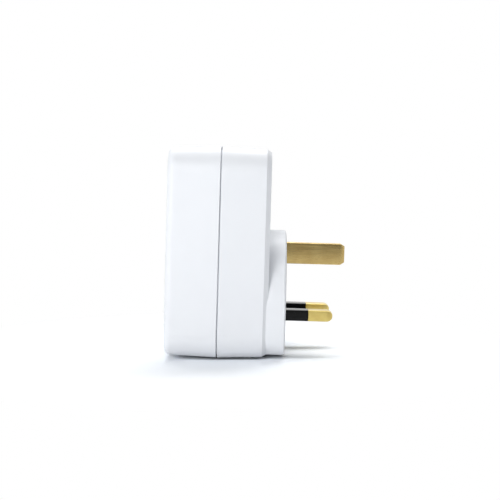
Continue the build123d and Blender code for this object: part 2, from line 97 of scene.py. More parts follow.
def seenDirectly(tree):
    # 1 for rays that show the background to the eye, in a mirror or through glass
    rays = addNode(tree, "ShaderNodeLightPath").outputs
    pair = {"Value": rays["Is Camera Ray"], "Value_001": rays["Is Glossy Ray"]}
    either = addNode(tree, "ShaderNodeMath", pair, operation="MAXIMUM").outputs[0]
    pair = {"Value": either, "Value_001": rays["Is Transmission Ray"]}
    return addNode(tree, "ShaderNodeMath", pair, operation="MAXIMUM").outputs[0]


# Camera: fitted to the pins and to the casing's edges
cameraSetup = {
    "placeMm": (500.0, -14.05, 60.65), "lensMm": 94.98, "sensorMm": 36.0,
    "pitch": -4.33, "yaw": -0.06, "roll": 1.68,  # degrees
}

camera = bpy.data.objects.new("camera", bpy.data.cameras.new("camera"))
camera.data.lens = cameraSetup["lensMm"]
camera.data.sensor_width = cameraSetup["sensorMm"]
camera.matrix_world = (
    Matrix.Translation(Vector(cameraSetup["placeMm"]) * mm)
    @ Matrix.Rotation(radians(90 + cameraSetup["yaw"]), 4, "Z")
    @ Matrix.Rotation(radians(90 + cameraSetup["pitch"]), 4, "X")
    @ Matrix.Rotation(radians(cameraSetup["roll"]), 4, "Z")
)
scene.collection.objects.link(camera)
scene.camera = camera

# Studio: a white world for the eye and for reflections, a lower one for shading, and soft lamps
studio = {
    "worldLight": 0.11,
    "floorTilt": 2.0,  # degrees: the adapter lies on its drafted underside
    "floorEdgeMm": (0.0, -24.5, -15.95),  # line on the floor under the rear rim
    "floorColour": "F4F5F7",  # for its bounce light
    "floorSeen": {"colour": "EFF3F8", "gain": 1.43},  # to the eye: white where lit, cool in shadow
    "floorContactShade": {"reachMm": 2.0, "power": 0.5},  # painted shade: darkens the floor's colour along the line of contact
    "floorFadeMm": (25.0, 120.0),
    "floorSizeMm": 6000.0,
}
lamps = {  # sizes are the two widths of each oval panel, the level one first
    "overheadBank": {"placeMm": (-300.0, 0.0, 700.0), "sizeMm": (1400.0, 1400.0), "watts": 1.4},
    "overheadSpot": {"placeMm": (-400.0, 45.0, 860.0), "sizeMm": (360.0, 360.0), "watts": 1.2},
    # its length runs along the pins, so that their shadows stay thin
    "keyStrip": {"placeMm": (-380.0, 0.0, 800.0), "sizeMm": (1100.0, 360.0), "watts": 4.4},
    "frontStrip": {"placeMm": (830.0, -480.0, 280.0), "sizeMm": (900.0, 300.0), "watts": 6.45},
}

world = bpy.data.worlds.new("studio")
scene.world = world
tree = emptyTree(world)
plain = linearColour("FFFFFF")
shade = addNode(tree, "ShaderNodeBackground", {"Strength": studio["worldLight"], "Color": plain})
white = addNode(tree, "ShaderNodeBackground", {"Strength": 1.0, "Color": plain})
blend = {"Fac": seenDirectly(tree), "Shader": shade.outputs[0], "Shader_001": white.outputs[0]}
blend = addNode(tree, "ShaderNodeMixShader", blend).outputs[0]
addNode(tree, "ShaderNodeOutputWorld", {"Surface": blend})

for name, lamp in lamps.items():
    light = bpy.data.lights.new(name, "AREA")
    light.shape = "ELLIPSE"
    light.size, light.size_y = [side * mm for side in lamp["sizeMm"]]
    light.energy = lamp["watts"]
    holder = bpy.data.objects.new(name, light)
    place = Vector(lamp["placeMm"]) * mm
    aim = (-place).to_track_quat("-Z", "Y")  # every lamp looks at the origin
    holder.matrix_world = Matrix.Translation(place) @ aim.to_matrix().to_4x4()
    holder.visible_camera = False
    scene.collection.objects.link(holder)


def stageSheet(name, corners):
    mesh = bpy.data.meshes.new(name)
    mesh.from_pydata([Vector(c) * mm for c in corners], [], [(0, 1, 2, 3)])
    sheet = bpy.data.objects.new(name, mesh)
    scene.collection.objects.link(sheet)
    sheet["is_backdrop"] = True
    return sheet


half = studio["floorSizeMm"] / 2
floor = stageSheet("floor", [(-half, -half, 0), (half, -half, 0), (half, half, 0), (-half, half, 0)])
floor.matrix_world = (
    Matrix.Translation(Vector(studio["floorEdgeMm"]) * mm)
    @ Matrix.Rotation(radians(studio["floorTilt"]), 4, "X")
)

# Seamless paper, a matt white sweep: takes the shadow, gets painted shade along the line of contact, and
# fades to white
paper = bpy.data.materials.new("seamless_paper")
tree = emptyTree(paper)
direct = seenDirectly(tree)
place = addNode(tree, "ShaderNodeTexCoord").outputs["Object"]
reach = addNode(tree, "ShaderNodeVectorMath", {"Vector": place}, operation="LENGTH").outputs["Value"]
near, far = [d * mm for d in studio["floorFadeMm"]]
fade = {"Value": reach, "From Min": near, "From Max": far}
fade = addNode(tree, "ShaderNodeMapRange", fade, interpolation_type="SMOOTHSTEP").outputs[0]
fade = {"Value": fade, "Value_001": direct}
fade = addNode(tree, "ShaderNodeMath", fade, operation="MULTIPLY").outputs[0]
contactShade, seen = studio["floorContactShade"], studio["floorSeen"]
# painted shade: ambient occlusion darkens the floor's colour to the eye where the adapter is close
clear = addNode(tree, "ShaderNodeAmbientOcclusion", {"Distance": contactShade["reachMm"] * mm}).outputs["AO"]
clear = {"Value": clear, "Value_001": contactShade["power"]}
clear = addNode(tree, "ShaderNodeMath", clear, operation="POWER").outputs[0]
bright = [part * seen["gain"] for part in linearColour(seen["colour"])[:3]] + [1.0]
shown = {"Factor_Float": clear, "A_Color": linearColour("000000"), "B_Color": bright}
shown = addNode(tree, "ShaderNodeMix", shown, data_type="RGBA").outputs[2]
tint = {"Factor_Float": direct, "A_Color": linearColour(studio["floorColour"]), "B_Color": shown}
tint = addNode(tree, "ShaderNodeMix", tint, data_type="RGBA").outputs[2]
lit = addNode(tree, "ShaderNodeBsdfDiffuse", {"Color": tint}).outputs[0]
glow = addNode(tree, "ShaderNodeEmission", {"Color": plain, "Strength": 1.0}).outputs[0]
blend = {"Fac": fade, "Shader": lit, "Shader_001": glow}
blend = addNode(tree, "ShaderNodeMixShader", blend).outputs[0]
addNode(tree, "ShaderNodeOutputMaterial", {"Surface": blend})
floor.data.materials.append(paper)

# Glowing grey card in front of the adapter, seen only by reflections: a painted reflection that gives the
# brass its depth
cardSetup = {"xMm": 240.0, "halfWidthMm": 900.0, "heightsMm": (0.0, 110.0), "tone": "78787A"}

half = cardSetup["halfWidthMm"]
low, high = cardSetup["heightsMm"]
outline = [(-half, low), (half, low), (half, high), (-half, high)]
card = stageSheet("frontCard", [(cardSetup["xMm"], y, z) for y, z in outline])
card.visible_camera = card.visible_diffuse = card.visible_shadow = card.visible_transmission = False
reflectionGlow = bpy.data.materials.new("grey_reflection_glow")
tree = emptyTree(reflectionGlow)
# painted reflection: a flat grey glow that only mirrors show
glow = {"Color": linearColour(cardSetup["tone"]), "Strength": 1.0}
glow = addNode(tree, "ShaderNodeEmission", glow).outputs[0]
addNode(tree, "ShaderNodeOutputMaterial", {"Surface": glow})
card.data.materials.append(reflectionGlow)
print("camera, light and floor set")


# Materials. Each look gives two tones and the size of their drift, the grain across X, Y and Z with its
# depth, the range of roughness, and for metals metallic 1. Grain under about 0.35 mm would not show in
# the render, so fine grain is drawn that coarse.
looks = {
    # ABS from a spark-eroded mould: clean white with a faint blue, soft satin, hardly any grain
    "abs_moulded_white": {"tones": ("F2F5F9", "EFF2F7"), "driftMm": 22.0, "grainMm": (0.5, 0.5, 0.5),
                          "depthMm": 0.0012, "rough": (0.4, 0.48), "ior": 1.53},
    # Brass bar, drawn and tumbled: lengthwise lines, pale gold that drifts darker
    "brass_drawn": {"tones": ("E0CF80", "C6AB64"), "driftMm": 3.0, "grainMm": (0.35, 16.0, 0.35),
                    "depthMm": 0.0016, "rough": (0.26, 0.36), "metal": True},
    # The same bar on the earth pin: browner where handled, and darker as painted shade
    "brass_drawn_worn_shaded": {"tones": ("D8C284", "B0935A"), "driftMm": 5.0, "grainMm": (0.35, 16.0, 0.35),
                         "depthMm": 0.0016, "rough": (0.24, 0.34), "metal": True},
    # Nylon sleeve moulded over the pin: deep black with a thin gloss, so its IOR is under nylon's
    "nylon_moulded_black": {"tones": ("0B0C0E", "101114"), "driftMm": 3.0, "grainMm": (0.4, 0.4, 0.4),
                            "depthMm": 0.002, "rough": (0.12, 0.2), "ior": 1.26},
    # Brass strip, rolled and stamped: smoother and deeper in tone than the pins, lines along the strip
    "brass_rolled_strip": {"tones": ("D2B766", "B99B4E"), "driftMm": 4.0, "grainMm": (0.4, 6.0, 0.4),
                           "depthMm": 0.001, "rough": (0.2, 0.34), "metal": True},
    # Nylon, moulded grey: dull and slightly mottled
    "nylon_moulded_grey": {"tones": ("BFC1C3", "B5B7BA"), "driftMm": 6.0, "grainMm": (0.5, 0.5, 0.5),
                           "depthMm": 0.003, "rough": (0.48, 0.6), "ior": 1.53},
    # Acetal shutter, moulded off-white: slippery, a little glossier than the nylon
    "acetal_moulded_white": {"tones": ("E6E7E8", "DFE0E2"), "driftMm": 7.0, "grainMm": (0.5, 0.5, 0.5),
                             "depthMm": 0.002, "rough": (0.36, 0.46), "ior": 1.48},
    # Music wire, drawn and zinc plated: bright grey with a very fine grain
    "steel_spring_wire": {"tones": ("C9CACB", "AEB0B3"), "driftMm": 1.0, "grainMm": (0.4, 0.4, 0.4),
                          "depthMm": 0.0006, "rough": (0.22, 0.32), "metal": True},
    # Tinned sheet steel, rolled: pale mirror with faint rolling lines
    "steel_tinned_sheet": {"tones": ("DBDCDC", "C6C7C8"), "driftMm": 4.0, "grainMm": (6.0, 0.4, 0.4),
                           "depthMm": 0.0008, "rough": (0.16, 0.28), "metal": True},
    # Liquid-crystal polymer tongue: ivory white, matt
    "polymer_moulded_ivory": {"tones": ("ECEBE6", "E4E3DD"), "driftMm": 3.0, "grainMm": (0.4, 0.4, 0.4),
                              "depthMm": 0.002, "rough": (0.45, 0.55), "ior": 1.6},
    # Gold flash on phosphor bronze: warm and bright
    "gold_flash": {"tones": ("E3C274", "D4AE5C"), "driftMm": 2.0, "grainMm": (0.4, 3.0, 0.4),
                   "depthMm": 0.0005, "rough": (0.18, 0.28), "metal": True},
    # Manganese-zinc ferrite, pressed and ground: charcoal with open grain
    "ferrite_ground": {"tones": ("3C3B3D", "302F31"), "driftMm": 1.5, "grainMm": (0.4, 0.4, 0.4),
                       "depthMm": 0.006, "rough": (0.5, 0.65), "ior": 1.8},
    # Polyester tape, wound: clear amber yellow with the edges of each turn
    "polyester_tape_yellow": {"tones": ("E8C24A", "D9AE36"), "driftMm": 2.5, "grainMm": (9.0, 9.0, 1.0),
                              "depthMm": 0.02, "rough": (0.22, 0.34), "ior": 1.6},
    # PVC shrink sleeve on a can, black: glossy, slightly rippled
    "sleeve_shrunk_black": {"tones": ("222225", "2B2B2E"), "driftMm": 3.0, "grainMm": (2.0, 2.0, 2.0),
                            "depthMm": 0.008, "rough": (0.2, 0.3), "ior": 1.54},
    # PVC shrink sleeve on a can, dark green: as glossy and rippled as the black one
    "sleeve_shrunk_green": {"tones": ("1E4B3F", "245547"), "driftMm": 3.0, "grainMm": (2.0, 2.0, 2.0),
                            "depthMm": 0.008, "rough": (0.2, 0.3), "ior": 1.54},
    # Epoxy dip on a ceramic disc: blue, orange-peel gloss
    "epoxy_dipped_blue": {"tones": ("2F63A8", "28589A"), "driftMm": 2.0, "grainMm": (0.8, 0.8, 0.8),
                          "depthMm": 0.01, "rough": (0.22, 0.34), "ior": 1.55},
    # Lacquer brushed on a ceramic resistor: grey green, half matt
    "lacquer_on_ceramic": {"tones": ("93AAA0", "869D92"), "driftMm": 2.0, "grainMm": (0.6, 0.6, 0.6),
                           "depthMm": 0.008, "rough": (0.4, 0.52), "ior": 1.55},
    # Filled epoxy package: soot black, sandy
    "epoxy_package_black": {"tones": ("232324", "1C1C1D"), "driftMm": 1.5, "grainMm": (0.4, 0.4, 0.4),
                            "depthMm": 0.006, "rough": (0.5, 0.62), "ior": 1.55},
    # PVC insulation, extruded: brown, with die lines along the wire
    "pvc_extruded_brown": {"tones": ("6E4527", "633D22"), "driftMm": 4.0, "grainMm": (0.4, 4.0, 4.0),
                           "depthMm": 0.003, "rough": (0.32, 0.44), "ior": 1.54},
    # PVC insulation, extruded: blue, with the same die lines
    "pvc_extruded_blue": {"tones": ("2D62A6", "285996"), "driftMm": 4.0, "grainMm": (0.4, 4.0, 4.0),
                          "depthMm": 0.003, "rough": (0.32, 0.44), "ior": 1.54},
    # Glass-epoxy board under green solder mask: glossy, the weave shows as a faint mottle
    "laminate_solder_mask": {"tones": ("1F6B3C", "1A5F35"), "driftMm": 0.9, "grainMm": (0.5, 0.5, 0.5),
                             "depthMm": 0.006, "rough": (0.26, 0.38), "ior": 1.55},
    # Screw steel, turned and zinc plated: cool grey, slightly cloudy
    "steel_zinc_plated": {"tones": ("C2C4C8", "A5A8AE"), "driftMm": 1.2, "grainMm": (0.4, 0.4, 0.4),
                          "depthMm": 0.002, "rough": (0.28, 0.42), "metal": True},
}
# Noise behind every look: how fine its detail goes, and the range in which most of it lies
noise = {"driftDetail": 2.0, "grainDetail": 3.0, "range": (0.3, 0.7)}


def makeMaterial(name, look):
    material = bpy.data.materials.new(name)
    tree = emptyTree(material)
    place = addNode(tree, "ShaderNodeTexCoord").outputs["Object"]
    drift = {"Vector": place, "Scale": 1 / (look["driftMm"] * mm), "Detail": noise["driftDetail"]}
    drift = addNode(tree, "ShaderNodeTexNoise", drift).outputs[0]
    scaled = {"Vector": place, "Scale": [1 / (size * mm) for size in look["grainMm"]]}
    scaled = addNode(tree, "ShaderNodeMapping", scaled).outputs[0]
    grain = {"Vector": scaled, "Scale": 1.0, "Detail": noise["grainDetail"]}
    grain = addNode(tree, "ShaderNodeTexNoise", grain).outputs[0]
    first, second = [linearColour(code) for code in look["tones"]]
    tones = {"Factor_Float": drift, "A_Color": first, "B_Color": second}
    tones = addNode(tree, "ShaderNodeMix", tones, data_type="RGBA").outputs[2]
    least, most = noise["range"]
    low, high = look["rough"]
    rough = {"Value": grain, "From Min": least, "From Max": most, "To Min": low, "To Max": high}
    rough = addNode(tree, "ShaderNodeMapRange", rough).outputs[0]
    bump = {"Height": grain, "Strength": 1.0, "Distance": look["depthMm"] * mm}
    bump = addNode(tree, "ShaderNodeBump", bump).outputs[0]
    surface = {"Base Color": tones, "Roughness": rough, "Normal": bump}
    if look.get("metal"):
        surface["Metallic"] = 1.0
    else:
        surface["IOR"] = look["ior"]
    surface = addNode(tree, "ShaderNodeBsdfPrincipled", surface).outputs[0]
    addNode(tree, "ShaderNodeOutputMaterial", {"Surface": surface})
    return material


materials = {name: makeMaterial(name, look) for name, look in looks.items()}
print(len(materials), "materials made")

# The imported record's slots and the materials that stand for them
slotMaterials = {
    "white_abs": "abs_moulded_white", "pin_brass": "brass_drawn", "black_nylon": "nylon_moulded_black",
    "sheet_brass": "brass_rolled_strip", "grey_nylon": "nylon_moulded_grey",
    "shutter_plastic": "acetal_moulded_white", "spring_steel": "steel_spring_wire",
    "board_laminate": "laminate_solder_mask", "plated_steel": "steel_tinned_sheet",
    "port_plastic": "polymer_moulded_ivory", "gilt_contact": "gold_flash", "ferrite": "ferrite_ground",
    "winding_tape": "polyester_tape_yellow", "can_sleeve_black": "sleeve_shrunk_black",
    "can_sleeve_green": "sleeve_shrunk_green", "blue_coating": "epoxy_dipped_blue",
    "resistor_ceramic": "lacquer_on_ceramic", "chip_resin": "epoxy_package_black",
    "brown_pvc": "pvc_extruded_brown", "blue_pvc": "pvc_extruded_blue",
    "screw_steel": "steel_zinc_plated",
}
for row in frame["record"]["subparts"]:
    holder = frame["nodes"][row["node"]]
    holder.material_slots[0].material = materials[slotMaterials[row["material_slot"]]]
print("CAD nodes dressed")


# Shapes: edges that bend by more degrees than these stay crisp
creaseAngles = {"powerPin": 32, "earthPin": 24, "screw": 32, "spring": 60, "leaf": 40, "shell": 40}
mergeMm = 0.0001  # points closer than this become one


def smoothUnder(mesh, angle):
    mesh.shade_smooth()
    mesh.set_sharp_from_angle(angle=radians(angle))


def addPiece(name, mesh, slot, nodes, look=None):
    piece = bpy.data.objects.new(name, mesh)
    scene.collection.objects.link(piece)
    mesh.materials.clear()
    mesh.materials.append(materials[look or slotMaterials[slot]])
    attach(piece, "adapter")
    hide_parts(*nodes)
    return piece


def roundedRing(halfX, halfZ, radius, steps=6):
    # rounded rectangle about the Y axis, as (x, z) points; a circle when the radius fills it
    points = []
    for quarter in range(4):
        right = 1 if quarter in (0, 3) else -1
        top = 1 if quarter in (0, 1) else -1
        for step in range(steps + 1):
            angle = pi / 2 * (quarter + step / steps)
            x = right * (halfX - radius) + radius * cos(angle)
            points.append((x, top * (halfZ - radius) + radius * sin(angle)))
    return points


def bridge(work, lower, upper):
    # a band of faces between two rows of equal counts
    for i in range(len(lower)):
        j = (i + 1) % len(lower)
        work.faces.new((lower[i], lower[j], upper[j], upper[i]))


def loft(name, rings, closed=False):
    # rings of equal counts, each a (y, points) pair in millimetres; closed joins the last to the first
    work = bmesh.new()
    rows = [[work.verts.new((x * mm, y * mm, z * mm)) for x, z in points] for y, points in rings]
    for lower, upper in zip(rows, rows[1:]):
        bridge(work, lower, upper)
    if closed:
        bridge(work, rows[-1], rows[0])
    else:
        work.faces.new(rows[0])
        work.faces.new(rows[-1])
    bmesh.ops.remove_doubles(work, verts=work.verts, dist=mergeMm * mm)
    bmesh.ops.recalc_face_normals(work, faces=work.faces)
    mesh = bpy.data.meshes.new(name)
    work.to_mesh(mesh)
    work.free()
    return mesh


# Plug pins: turned root, riveted tenon and flange behind the plug face, then the blade
pins = {  # millimetres; half stands for half a width
    "halfThick": 2.0, "edge": 0.28,
    "root": [(-13.2, 2.0), (-13.0, 2.2), (-12.3, 2.2), (-12.3, 1.5), (-11.5, 1.5)],  # (y, radius)
    "flangeLip": 1.0, "flangeY": (-11.5, -10.0),
    "powerHalf": 3.175, "powerLength": 17.8, "lineX": 11.115,
    "powerTip": 2.3, "powerTipThin": 1.75, "powerTipNarrow": 1.5, "tipSteps": 12,
    "sleeveY": (-6.0, 8.7), "sleeveWall": 0.7, "sleeveSoft": 0.12,
    "earthHalf": 4.0, "earthLength": 22.3, "earthZ": 22.23,
    "earthTip": (1.6, 0.9), "earthSoft": 0.15,  # run and inset of the chamfer, and how far it is eased
}


def pinRing(half, inset=0.0):
    # outline of a blade, moved in evenly
    return roundedRing(half - inset, pins["halfThick"] - inset, pins["edge"])


def pinRoot(half):
    rings = [(y, roundedRing(radius, radius, radius)) for y, radius in pins["root"]]
    rings += [(y, pinRing(half, -pins["flangeLip"])) for y in pins["flangeY"]]
    return rings + [(pins["flangeY"][1], pinRing(half))]


def powerPin():
    half, soft = pins["powerHalf"], pins["sleeveSoft"]
    embed, neck = pins["sleeveY"]
    core = pinRing(half, pins["sleeveWall"])
    rings = pinRoot(half) + [(embed, pinRing(half)), (embed, core), (neck, core)]
    rings += [(neck, pinRing(half, soft)), (neck + soft, pinRing(half))]
    for step in range(pins["tipSteps"] + 1):  # rounded tip
        angle = pi / 2 * step / pins["tipSteps"]
        y = pins["powerLength"] - pins["powerTip"] * (1 - sin(angle))
        narrow = half - pins["powerTipNarrow"] * (1 - cos(angle))
        thin = pins["halfThick"] - pins["powerTipThin"] * (1 - cos(angle))
        rings.append((y, roundedRing(narrow, thin, min(pins["edge"], thin))))
    return rings


def earthPin():
    half, soft, tip = pins["earthHalf"], pins["earthSoft"], pins["earthLength"]
    run, inset = pins["earthTip"]
    slope = inset / run
    return pinRoot(half) + [
        (tip - run - soft, pinRing(half)),
        (tip - run + soft, pinRing(half, soft * slope)),
        (tip - soft, pinRing(half, inset - soft * slope)),
        (tip - soft / 3, pinRing(half, inset + soft / 3)),
        (tip, pinRing(half, inset + soft)),
    ]


def sleeveRings():
    half, soft = pins["powerHalf"], pins["sleeveSoft"]
    back, front = pins["sleeveY"]
    outer, inner = pinRing(half), pinRing(half, pins["sleeveWall"])
    return [
        (back, outer), (front - soft, outer), (front, pinRing(half, soft)),
        (front, inner), (back, inner),
    ]


for side, x in (("line", pins["lineX"]), ("neutral", -pins["lineX"])):
    pin = loft(side + "Pin", powerPin())
    sleeve = loft(side + "Sleeve", sleeveRings(), closed=True)
    for mesh in (pin, sleeve):
        mesh.transform(Matrix.Translation((x * mm, 0, 0)))
        smoothUnder(mesh, creaseAngles["powerPin"])
    addPiece(side + "Pin", pin, "pin_brass", [side + "_pin"])
    addPiece(side + "Sleeve", sleeve, "black_nylon", [side + "_pin_sleeve"])
mesh = loft("earthPin", earthPin())
upright = Matrix.Rotation(radians(90), 4, "Y")  # this blade stands on edge
mesh.transform(Matrix.Translation((0, 0, pins["earthZ"] * mm)) @ upright)
smoothUnder(mesh, creaseAngles["earthPin"])
# the earth pin's brass is darker as painted shade
addPiece("earthPin", mesh, "pin_brass", ["earth_pin"], "brass_drawn_worn_shaded")
print("pins and sleeves built")


# Geometry Nodes for what repeats or follows a path
def inMetres(lengths):
    return {
        name: tuple(part * mm for part in size) if isinstance(size, tuple) else size * mm
        for name, size in lengths.items()
    }


def newTree(name, sizes):
    # one named input for each size: a vector for three numbers, else a float
    tree = bpy.data.node_groups.new(name, "GeometryNodeTree")
    tree.interface.new_socket("Shape", in_out="OUTPUT", socket_type="NodeSocketGeometry")
    tree.interface.new_socket("Places", in_out="INPUT", socket_type="NodeSocketGeometry")
    tree.interface.new_socket("Material", in_out="INPUT", socket_type="NodeSocketMaterial")
    for size, value in sizes.items():
        kind = "NodeSocketVector" if isinstance(value, tuple) else "NodeSocketFloat"
        tree.interface.new_socket(size, in_out="INPUT", socket_type=kind)
    return tree, addNode(tree, "NodeGroupInput").outputs


def endTree(tree, given, one):
    # one copy at each place, made real and given its material
    copies = {"Points": given["Places"], "Instance": one, "Rotation": given["Turn"]}
    copies = addNode(tree, "GeometryNodeInstanceOnPoints", copies).outputs[0]
    real = addNode(tree, "GeometryNodeRealizeInstances", {"Geometry": copies}).outputs[0]
    dressed = {"Geometry": real, "Material": given["Material"]}
    dressed = addNode(tree, "GeometryNodeSetMaterial", dressed).outputs[0]
    addNode(tree, "NodeGroupOutput", {"Shape": dressed})


def grow(name, tree, placesMm, sizes, slot, nodes, crease):
    # runs the tree on its places and keeps the result as a plain mesh
    seeds = bpy.data.meshes.new(name + "Places")
    seeds.from_pydata([Vector(p) * mm for p in placesMm], [], [])
    holder = bpy.data.objects.new(name + "Places", seeds)
    scene.collection.objects.link(holder)
    modifier = holder.modifiers.new("shape", "NODES")
    modifier.node_group = tree
    given = dict(sizes, Material=materials[slotMaterials[slot]])
    for item in tree.interface.items_tree:
        if item.in_out == "INPUT" and item.name in given:
            modifier[item.identifier] = given[item.name]
    graph = bpy.context.evaluated_depsgraph_get()
    mesh = bpy.data.meshes.new_from_object(holder.evaluated_get(graph), depsgraph=graph)
    mesh.name = name
    bpy.data.objects.remove(holder)
    smoothUnder(mesh, creaseAngles[crease])
    return addPiece(name, mesh, slot, nodes)


# Pan-head screws with a cross recess, about Z: seat at 0, head up, thread down. Millimetres and degrees
casingScrew = {"head": (2.4, 1.9), "dome": 3.6, "shank": 1.45, "length": 11.0, "pitch": 1.2,
               "ridge": 0.3, "tilt": -90.0}  # head is radius and height
smallScrew = {"head": (1.9, 1.4), "dome": 3.0, "shank": 1.05, "length": 8.0, "pitch": 0.9,
              "ridge": 0.22, "tilt": 90.0}
boardScrew = dict(smallScrew, length=6.5, tilt=-90.0)
recess = {"width": 0.7, "depth": 0.9, "margin": 0.8}
screwPoint = {"length": 1.3, "blunt": 0.12}  # shares of the core's radius
screwPlaces = {  # seats, in millimetres
    "casing": [(-22.0, -22.2, 53.5), (22.0, -22.2, 53.5), (-19.46, -22.2, -9.0), (19.46, -22.2, -9.0)],
    "carrier": [(-20.39, -37.4, 11.0), (20.39, -37.4, 11.0)],
    "board": [(-15.7, -28.1, 32.83), (15.7, -28.1, 32.83), (-15.7, -28.1, 54.7), (15.7, -28.1, 54.7)],
}


def screwSizes(screw):
    # the tree's inputs, worked out from one screw's settings
    radius, height = screw["head"]
    core = screw["shank"] - screw["ridge"]
    point = screwPoint["length"] * core
    straight = screw["length"] - point
    reach, deep = 2 * (radius - recess["margin"]), 2 * recess["depth"]
    sizes = inMetres({
        "Head Radius": radius, "Head Height": height, "Head Middle": (0.0, 0.0, height / 2),
        "Head Top": (0.0, 0.0, height), "Dome Radius": screw["dome"],
        "Dome Middle": (0.0, 0.0, height - screw["dome"]),
        "First Slot": (reach, recess["width"], deep), "Second Slot": (recess["width"], reach, deep),
        "Core Radius": core, "Straight": straight, "Shank Middle": (0.0, 0.0, -straight / 2),
        "Point Length": point, "Point Radius": screwPoint["blunt"] * core,
        "Point End": (0.0, 0.0, -screw["length"]),
        "Thread Start": (0.0, 0.0, -straight), "Ridge": screw["ridge"],
    })
    return dict(sizes, Turns=straight / screw["pitch"], Turn=(radians(screw["tilt"]), 0.0, 0.0))


def screwTree():
    tree, given = newTree("panHeadScrew", screwSizes(casingScrew))
    disc = {"Vertices": 48, "Radius": given["Head Radius"], "Depth": given["Head Height"]}
    disc = addNode(tree, "GeometryNodeMeshCylinder", disc).outputs["Mesh"]
    ball = {"Segments": 48, "Rings": 32, "Radius": given["Dome Radius"]}
    ball = addNode(tree, "GeometryNodeMeshUVSphere", ball).outputs["Mesh"]
    head = addNode(tree, "GeometryNodeMeshBoolean", operation="INTERSECT", solver="EXACT")
    for shape, middle in ((disc, "Head Middle"), (ball, "Dome Middle")):
        moved = {"Geometry": shape, "Translation": given[middle]}
        tree.links.new(addNode(tree, "GeometryNodeTransform", moved).outputs[0], head.inputs["Mesh 2"])
    cut = {"Mesh 1": head.outputs[0]}
    cut = addNode(tree, "GeometryNodeMeshBoolean", cut, operation="DIFFERENCE", solver="EXACT")
    for size in ("First Slot", "Second Slot"):
        arm = addNode(tree, "GeometryNodeMeshCube", {"Size": given[size]}).outputs["Mesh"]
        moved = {"Geometry": arm, "Translation": given["Head Top"]}
        tree.links.new(addNode(tree, "GeometryNodeTransform", moved).outputs[0], cut.inputs["Mesh 2"])
    shank = {"Vertices": 24, "Radius": given["Core Radius"], "Depth": given["Straight"]}
    shank = addNode(tree, "GeometryNodeMeshCylinder", shank).outputs["Mesh"]
    point = {"Vertices": 24, "Radius Top": given["Core Radius"], "Radius Bottom": given["Point Radius"],
             "Depth": given["Point Length"]}
    point = addNode(tree, "GeometryNodeMeshCone", point).outputs["Mesh"]
    helix = {"Resolution": 20, "Rotations": given["Turns"], "Start Radius": given["Core Radius"],
             "End Radius": given["Core Radius"], "Height": given["Straight"]}
    helix = addNode(tree, "GeometryNodeCurveSpiral", helix).outputs[0]
    ridge = {"Resolution": 4, "Radius": given["Ridge"]}
    ridge = addNode(tree, "GeometryNodeCurvePrimitiveCircle", ridge).outputs[0]
    thread = {"Curve": helix, "Profile Curve": ridge, "Fill Caps": True}
    thread = addNode(tree, "GeometryNodeCurveToMesh", thread).outputs[0]
    whole = addNode(tree, "GeometryNodeJoinGeometry", {"Geometry": cut.outputs[0]})
    for shape, middle in ((shank, "Shank Middle"), (point, "Point End"), (thread, "Thread Start")):
        moved = {"Geometry": shape, "Translation": given[middle]}
        tree.links.new(addNode(tree, "GeometryNodeTransform", moved).outputs[0], whole.inputs[0])
    endTree(tree, given, whole.outputs[0])
    return tree


tree = screwTree()
for kind, screw in (("casing", casingScrew), ("carrier", smallScrew), ("board", boardScrew)):
    nodes = [kind + "_screws"]
    grow(kind + "Screws", tree, screwPlaces[kind], screwSizes(screw), "screw_steel", nodes, "screw")
print("screws built")

# Return spring of the shutter, with a closed turn at each end
spring = {"seat": (0.0, -39.45, -11.4), "radius": 1.4, "wire": 0.175, "height": 8.0, "turns": 7.0,
          "closed": 0.13, "endRise": 0.64}  # closed is a share of the length at each end


def springTree(sizes):
    tree, given = newTree("pressureSpring", sizes)
    helix = {"Resolution": 28, "Rotations": given["Turns"], "Start Radius": given["Radius"],
             "End Radius": given["Radius"], "Height": given["Open Rise"]}
    helix = addNode(tree, "GeometryNodeCurveSpiral", helix).outputs[0]
    share = addNode(tree, "GeometryNodeSplineParameter").outputs["Factor"]
    rise = {"Value": share, "From Min": given["Closed To"], "From Max": given["Open To"],
            "To Min": 0.0, "To Max": given["Open Rise"]}
    rise = addNode(tree, "ShaderNodeMapRange", rise).outputs[0]
    level = {"Value": share, "Value_001": given["End Rise"], "Value_002": rise}
    level = addNode(tree, "ShaderNodeMath", level, operation="MULTIPLY_ADD").outputs[0]
    spot = addNode(tree, "GeometryNodeInputPosition").outputs[0]
    parts = addNode(tree, "ShaderNodeSeparateXYZ", {"Vector": spot}).outputs
    moved = {"X": parts["X"], "Y": parts["Y"], "Z": level}
    moved = addNode(tree, "ShaderNodeCombineXYZ", moved).outputs[0]
    path = addNode(tree, "GeometryNodeSetPosition", {"Geometry": helix, "Position": moved}).outputs[0]
    wire = {"Resolution": 10, "Radius": given["Wire"]}
    wire = addNode(tree, "GeometryNodeCurvePrimitiveCircle", wire).outputs[0]
    wound = {"Curve": path, "Profile Curve": wire, "Fill Caps": True}
    wound = addNode(tree, "GeometryNodeCurveToMesh", wound).outputs[0]
    stood = {"Geometry": wound, "Translation": given["Foot"]}
    endTree(tree, given, addNode(tree, "GeometryNodeTransform", stood).outputs[0])
    return tree


sizes = inMetres({
    "Radius": spring["radius"], "Wire": spring["wire"], "Foot": (0.0, 0.0, spring["wire"]),
    "Open Rise": spring["height"] - spring["endRise"], "End Rise": spring["endRise"],
})
sizes.update({"Turns": spring["turns"], "Closed To": spring["closed"], "Open To": 1 - spring["closed"],
              "Turn": (0.0, 0.0, 0.0)})
tree = springTree(sizes)
seats = [spring["seat"]]
coil = grow("shutterSpring", tree, seats, sizes, "spring_steel", ["shutter_spring"], "spring")
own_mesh(coil)
print("spring wound")

# Contact leaves under each port's tongue, crowned near the mouth
leaf = {"length": 8.0, "width": 1.0, "thickness": 0.25, "crown": 0.3, "crownY": 2.2, "crownReach": 1.6,
        "offsets": (-3.5, -1.0, 1.0, 3.5), "startY": -41.7, "startZ": 45.935}
portX = {"left": -11.0, "right": 11.0}


